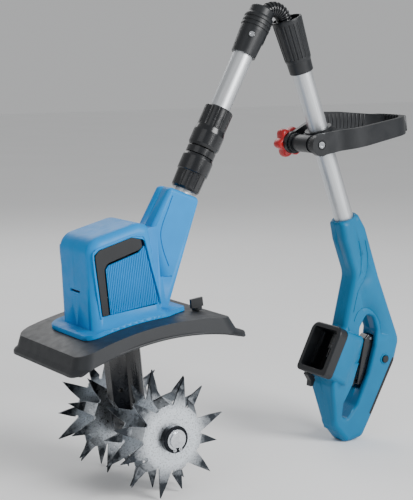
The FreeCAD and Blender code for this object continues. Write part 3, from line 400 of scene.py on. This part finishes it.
# Runs a node group on a line or points in local millimetres and keeps the result as a plain mesh.
def grown(name, points, edges, group, values, placement):
    base = bpy.data.meshes.new(name + "Base")
    base.from_pydata([Vector(p) for p in points], edges, [])
    holder = bpy.data.objects.new(name + "Base", base)
    bpy.context.scene.collection.objects.link(holder)
    modifier = holder.modifiers.new("grow", "NODES")
    modifier.node_group = group
    for item in group.interface.items_tree:
        if item.in_out == "INPUT" and item.name in values:
            modifier[item.identifier] = values[item.name]
    bpy.context.view_layer.update()
    graph = bpy.context.evaluated_depsgraph_get()
    mesh = bpy.data.meshes.new_from_object(holder.evaluated_get(graph), depsgraph=graph)
    mesh.name = name
    mesh.transform(placement)
    bpy.data.objects.remove(holder)
    made = bpy.data.objects.new(name, mesh)
    bpy.context.scene.collection.objects.link(made)
    return made


# The object that a node group copies: built at the origin and removed after use.
def pattern(name, points, faces, finish, sharp=32):
    return solid(name, points, faces, Matrix.Identity(4), finish, sharp)


def lineOf(path, closedLoop=False):
    edges = [(i, i + 1) for i in range(len(path) - 1)]
    return edges + ([(len(path) - 1, 0)] if closedLoop else [])


def remove(*objects):
    for one in objects:
        bpy.data.objects.remove(one)


# One mesh from several, with their materials kept.
def joined(name, parts):
    bpy.ops.object.select_all(action="DESELECT")
    for part in parts:
        part.select_set(True)
    bpy.context.view_layer.objects.active = parts[0]
    bpy.ops.object.join()
    parts[0].name = name
    parts[0].data.name = name
    return parts[0]


# A copy of a CAD node's mesh with grooves cut into it, shown in the node's place.
def carved(name, node, cutters, body, finish):
    mesh = cadNodes[node].data.copy()
    made = bpy.data.objects.new(name, mesh)
    bpy.context.scene.collection.objects.link(made)
    for cutter in cutters:
        modifier = made.modifiers.new("carve", "BOOLEAN")
        modifier.object = cutter
        modifier.operation = "DIFFERENCE"
        modifier.solver = "EXACT"
    bpy.context.view_layer.update()
    graph = bpy.context.evaluated_depsgraph_get()
    carvedMesh = bpy.data.meshes.new_from_object(made.evaluated_get(graph), depsgraph=graph)
    made.modifiers.clear()
    made.data = carvedMesh
    carvedMesh.materials.clear()
    carvedMesh.materials.append(materials[finish])
    carvedMesh.shade_smooth()
    carvedMesh.set_sharp_from_angle(angle=math.radians(28))
    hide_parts(node)
    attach(made, body)
    return made


# ---- conduit ----
# Corrugated hose over the fold: a core with rings, bent round the fold's pivot.
def makeConduit():
    bend, radius, sides, arcSteps, ringCount = 19.5, 10.95, 32, 24, 20
    low, high = math.radians(lowerLean), math.radians(upperLean)
    span = math.pi - low - high
    lowWay = Vector((math.sin(low), 0, math.cos(low)))
    highWay = Vector((-math.sin(high), 0, math.cos(high)))
    pivot = Vector((pivotX, 0, pivotZ))
    start = pivot + Vector((-math.cos(low), 0, math.sin(low))) * bend
    end = pivot + Vector((math.cos(high), 0, math.sin(high))) * bend
    angles = [low + span * k / arcSteps for k in range(arcSteps + 1)]
    arc = [pivot + Vector((-math.cos(a), 0, math.sin(a))) * bend for a in angles]
    path = [start - lowWay * s for s in (19, 14, 9, 4)] + arc + [end - highWay * s for s in (4, 9, 14.8)]
    core = solid("conduitCore", *swept(path, roundSection(radius - 1.5, sides)), worldFrame,
                 "glossPolyamide", 60)
    profile = [(radius - 1.7, -1.55), (radius - 0.5, -1.3), (radius, -0.75), (radius, 0.75),
               (radius - 0.5, 1.3), (radius - 1.7, 1.55)]
    turns = [2 * math.pi * k / sides for k in range(sides)]
    circles = [[(r * math.cos(a), r * math.sin(a), z) for a in turns] for r, z in profile]
    rib = pattern("conduitRib", *stitched(circles), "glossPolyamide", 50)
    values = {"Copy": rib, "Count": ringCount, "Up": (0, 1, 0), "Finish": materials["glossPolyamide"]}
    rings = grown("conduitRings", path, lineOf(path), repeatGroup, values, worldFrame)
    remove(rib)
    hose = joined("corrugatedConduit", [core, rings])
    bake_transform(hose)
    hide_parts("conduit")


# ---- screws ----
# A pan head with a six-sided recess, its axis along Z.
def crossHead(radius, height):
    sides = 36
    outer = [(radius, 0), (radius, height * 0.45), (radius * 0.86, height * 0.85), (radius * 0.6, height)]
    points, faces = lathed(outer, sides)
    faces = faces[:-1]
    top = len(points) - sides
    socket = []
    for z in (height, height * 0.35):
        for k in range(sides):
            a = 2 * math.pi * k / sides
            r = radius * 0.34 * (1 + 0.16 * math.cos(6 * a))
            socket.append((r * math.cos(a), r * math.sin(a), z))
    first = len(points)
    floor = first + sides
    points = points + socket
    for k in range(sides):
        n = (k + 1) % sides
        faces.append((top + k, top + n, first + n, first + k))
        faces.append((first + k, first + n, floor + n, floor + k))
    faces.append(tuple(floor + k for k in range(sides)))
    return points, faces


def makeScrews():
    farSide = (math.radians(-90), 0, 0)
    sets = [
        {"name": "housingScrewHeads", "node": "housing_screws", "radius": 3.2, "height": 1.6, "y": 19.0,
         "at": [(83, 290), (106, 283), (81, 240), (63, 197)], "frame": headFrame, "body": "head"},
        {"name": "handleScrewHeads", "node": "handle_screws", "radius": 3.0, "height": 1.2, "y": 18.0,
         "at": [(377, 270), (394, 236), (350, 22), (432, 140)], "frame": handleFrame,
         "body": "upper_section"},
    ]
    for one in sets:
        head = pattern(one["name"] + "Pattern", *crossHead(one["radius"], one["height"]), "screwSteel", 40)
        points = [(x, one["y"], z) for x, z in one["at"]]
        made = grown(one["name"], points, [], scatterGroup,
                     {"Copy": head, "Turn": farSide, "Finish": materials["screwSteel"]}, one["frame"])
        remove(head)
        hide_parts(one["node"])
        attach(made, one["body"])


# ---- motor head ----
# V-shaped cutters on both sides of a shell, along (x, z) paths. Names end in n for near, f for far.
def sideGrooves(name, paths, y, placement, half=0.8, depth=1.1):
    cutters = []
    for i, path in enumerate(paths):
        for sign in (-1, 1):
            line = [Vector((x, sign * y, z)) for x, z in path]
            section = [(-half, 0.5), (half, 0.5), (0.15, -depth), (-0.15, -depth)]
            points, faces = swept(line, section, up=(0, sign, 0))
            own = f"{name}{i}{'n' if sign < 0 else 'f'}"
            cutters.append(solid(own, points, faces, placement, "headAbs"))
    return cutters


def makeHeadShell():
    seam = [(77, 0, 298), (67, 0, 280), (57, 0, 262), (53, 0, 248), (55, 0, 228), (61, 0, 206)]
    grooves = [[(p.x, p.z) for p in smoothPath(seam, 4)], [(46, 195.1), (53, 193.2), (64, 191.7)]]
    cutters = sideGrooves("neckGroove", grooves, 19, headFrame)
    for side, y in (("left", "n"), ("right", "f")):
        own = [c for c in cutters if c.name.endswith(y)]
        made = carved(f"headShell{side.title()}", f"motor_housing_{side}", own, "head", "headAbs")
    remove(*cutters)


def makeRecessRims():
    outline = [(-60.5, 164, 0), (-62.5, 205, 0), (-62.6, 245, 0), (-60, 250.5, 0), (-54, 253.8, 0),
               (-30, 257.8, 0), (-6, 261.8, 0), (6, 260.5, 0), (14, 255.2, 0), (20, 220, 0), (29.5, 166, 0)]
    flat = smoothPath(outline, 6)
    for name, y in (("recessRimLeft", -45), ("recessRimRight", 45)):
        path = [(p.x, y, p.y) for p in flat]
        made = solid(name, *swept(path, roundSection(1.3, 12, 0.75)), headFrame, "headAbs", 60)
        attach(made, "head")


# A dark plate behind the slit in the head's front, as painted shade for the inside of the head, so that no
# light passes through.
def makeVentShadePlate():
    front, back, half = -67.8, -64, 17
    outline = [(front, -half), (back, -half), (back, half), (front, half)]
    rings = [[(x, y, z) for x, y in outline] for z in (190, 203)]
    made = solid("ventBaffle", *stitched(rings), headFrame, "satinNylon")
    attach(made, "head")


# ---- guard ----
# Height of the skirt's arched lower edge above the axle, and the skirt's half width there.
def skirtEdge(u):
    arch, crown, middle = 360, 133, -4
    v = crown - arch + math.sqrt(arch ** 2 - (u - middle) ** 2)
    return v, 100 - min(4, max(0, (v - 114) * 0.8)) - max(0, (v - 119) * 5 / 41)


# A thin bead along the skirt's lower edge.
def makeGuardBead():
    corner, long, steps, spread = 24, 128.4, 160, 1.45
    path = []
    for k in range(steps):
        along, across = math.cos(2 * math.pi * k / steps), math.sin(2 * math.pi * k / steps)
        u = (long - corner) * max(-1, min(1, spread * along)) + corner * along
        v, wide = skirtEdge(u)
        y = (wide - corner) * max(-1, min(1, spread * across)) + corner * across
        path.append((u, y, v))
    points, faces = swept(path, roundSection(1.9, 10), up=(0, 0, 1), closedLoop=True)
    bead = solid("guardBead", points, faces, headFrame, "guardPolypropylene", 60)
    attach(bead, "head")


# ---- loop handle ----
# Raised ribs round the far bow of the loop.
def makeLoopRibs():
    thick, high, corner = 7, 14, 1.6
    bow = [(62, 46, 15.5), (96, 43.4, 13.5), (130, 40.4, 6.5), (149, 36.5, 2), (158.4, 26, 1.2),
           (160.6, 10, 1), (160.6, -10, 1), (158.4, -26, 1)]
    path = smoothPath(bow, 8)
    side, top, bottom = thick / 2 - 1, high - 3.4, 4.4 - high
    outline = []
    for x, y, first in ((side, top, 0), (-side, top, 90), (-side, bottom, 180), (side, bottom, 270)):
        for k in range(4):
            a = math.radians(first + k * 30)
            outline.append((x + corner * math.cos(a), y + corner * math.sin(a)))
    levels = ((0.95, -1.4), (1.0, -0.9), (1.0, 0.9), (0.95, 1.4))
    rings = [[(x * s, y * s, z) for x, y in outline] for s, z in levels]
    rib = pattern("loopRib", *stitched(rings), "satinNylon", 50)
    values = {"Copy": rib, "Count": 24, "Up": (0, 0, 1), "Finish": materials["satinNylon"]}
    ribs = grown("loopRibs", path, lineOf(path), repeatGroup, values, loopFrame)
    remove(rib)
    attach(ribs, "loop")


# ---- clamp knob ----
# Six-lobed knob with a domed face and a bolt recess.
def makeKnob():
    radius, base, count = 22.9, 35.35, 144
    levels = [(0.80, 0.0), (0.90, 0.6), (0.955, 2.2), (0.985, 5.0), (1.0, 9.0), (0.985, 12.5), (0.94, 15.2),
              (0.84, 16.8), (0.66, 17.0), (0.42, 16.2), (0.30, 15.6), (0.26, 13.0)]
    rings = []
    for scale, y in levels:
        one = []
        lobed = min(1.0, max(0.0, (scale - 0.3) / 0.5))
        for k in range(count):
            a = 2 * math.pi * k / count
            wave = 0.5 + 0.5 * math.cos(6 * a)
            r = radius * (0.76 + 0.24 * wave ** 0.75) * scale * lobed + radius * scale * 0.8 * (1 - lobed)
            one.append((r * math.cos(a), base + y, r * math.sin(a)))
        rings.append(list(reversed(one)))
    knob = solid("sixLobeKnob", *stitched(rings), loopFrame, "knobPolypropylene", 45)
    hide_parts("clamp_knob")
    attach(knob, "knob")


# ---- rear handle ----
def makeRearShell():
    ridges = [
        [(362, 300), (367, 276), (366, 250), (353, 232), (346, 211), (343, 189), (347, 168)],
        [(374, 300), (380, 272), (376, 246), (364, 227), (358, 209), (355, 195)],
        [(356, 181), (361, 192), (371, 199), (386, 197), (402, 180), (408, 157)],
    ]
    paths = []
    for ridge in ridges:
        smooth = smoothPath([(x, 0, z) for x, z in ridge], 5)
        paths.append([(p.x, p.z) for p in smooth])
    ventCentres = [(358, 136.6), (355, 127.7), (351.2, 118.8), (348, 109.8)]
    vents = [[(x - 2.8, z - 1.4), (x + 2.8, z + 1.4)] for x, z in ventCentres]
    cutters = sideGrooves("handleGroove", paths, 18, handleFrame, 0.9, 0.9)
    slots = sideGrooves("ventSlot", vents, 18, handleFrame, 1.4, 2.2)
    for side, y in (("left", "n"), ("right", "f")):
        own = [c for c in cutters + slots if c.name.endswith(y)]
        made = carved(f"rearShell{side.title()}", f"rear_housing_{side}", own, "upper_section", "handleAbs")
    remove(*cutters, *slots)


# A raised ring round the lock button on each side.
def makeButtonRings():
    buttonX, buttonZ, radius = 416, 118, 7.3
    turns = [2 * math.pi * k / 40 for k in range(40)]
    for name, y in (("buttonRingLeft", -18.0), ("buttonRingRight", 18.0)):
        path = [(buttonX + radius * math.cos(a), y, buttonZ + radius * math.sin(a)) for a in turns]
        points, faces = swept(path, roundSection(1.1, 10), closedLoop=True)
        made = solid(name, points, faces, handleFrame, "handleAbs", 60)
        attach(made, "upper_section")


makeConduit()
print("conduit built")
makeScrews()
print("screws built")
makeHeadShell()
makeRecessRims()
makeVentShadePlate()
makeGuardBead()
print("head built")
makeLoopRibs()
makeKnob()
print("loop and knob built")
makeRearShell()
makeButtonRings()
print("rear handle built")


# ---- stage, light and camera ----
def makeStage():
    mesh = bpy.data.meshes.new("floor")
    wide = 9.0
    corners = [(-wide, -wide, 0), (wide, -wide, 0), (wide, wide, 0), (-wide, wide, 0)]
    mesh.from_pydata(corners, [], [(0, 1, 2, 3)])
    floor = bpy.data.objects.new("floor", mesh)
    bpy.context.scene.collection.objects.link(floor)
    material, tree, shader, place = startMaterial("floorPaint", Roughness=0.75)
    tone = mixed(tree, noise(tree, place, 400, 2), linear("#F4F4F4"), linear("#FAFAFA"))
    tree.links.new(tone, shader.inputs["Base Color"])
    mesh.materials.append(material)
    world = bpy.data.worlds.new("studio")
    world.use_nodes = True
    background = world.node_tree.nodes["Background"]
    background.inputs["Color"].default_value = linear("#FBFCFD")
    background.inputs["Strength"].default_value = 0.5
    bpy.context.scene.world = world


def makeLights():
    target = Vector((0, 0, 0.3))
    lights = [
        {"name": "key", "at": (0.8, -2.1, 1.5), "power": 78, "size": 1.3},
        {"name": "fill", "at": (-2.1, -0.8, 1.4), "power": 7, "size": 1.6},
        {"name": "back", "at": (0.4, 1.9, 1.7), "power": 15, "size": 1.4},
    ]
    for one in lights:
        data = bpy.data.lights.new(one["name"], "AREA")
        data.energy = one["power"]
        data.size = one["size"]
        lamp = bpy.data.objects.new(one["name"], data)
        lamp.location = one["at"]
        lamp.rotation_mode = "QUATERNION"
        lamp.rotation_quaternion = (target - lamp.location).to_track_quat("-Z", "Y")
        bpy.context.scene.collection.objects.link(lamp)


def makeCamera():
    azimuth, elevation = math.radians(-33), math.radians(8.5)
    back = Vector((math.sin(azimuth) * math.cos(elevation), -math.cos(azimuth) * math.cos(elevation),
                   math.sin(elevation)))
    data = bpy.data.cameras.new("camera")
    data.lens = 99.6
    data.sensor_width = 36
    camera = bpy.data.objects.new("camera", data)
    camera.location = (-1.0563, -1.5624, 0.5830)
    camera.rotation_mode = "QUATERNION"
    camera.rotation_quaternion = (-back).to_track_quat("-Z", "Y")
    bpy.context.scene.collection.objects.link(camera)
    bpy.context.scene.camera = camera


makeStage()
makeLights()
makeCamera()
print("stage, light and camera set")
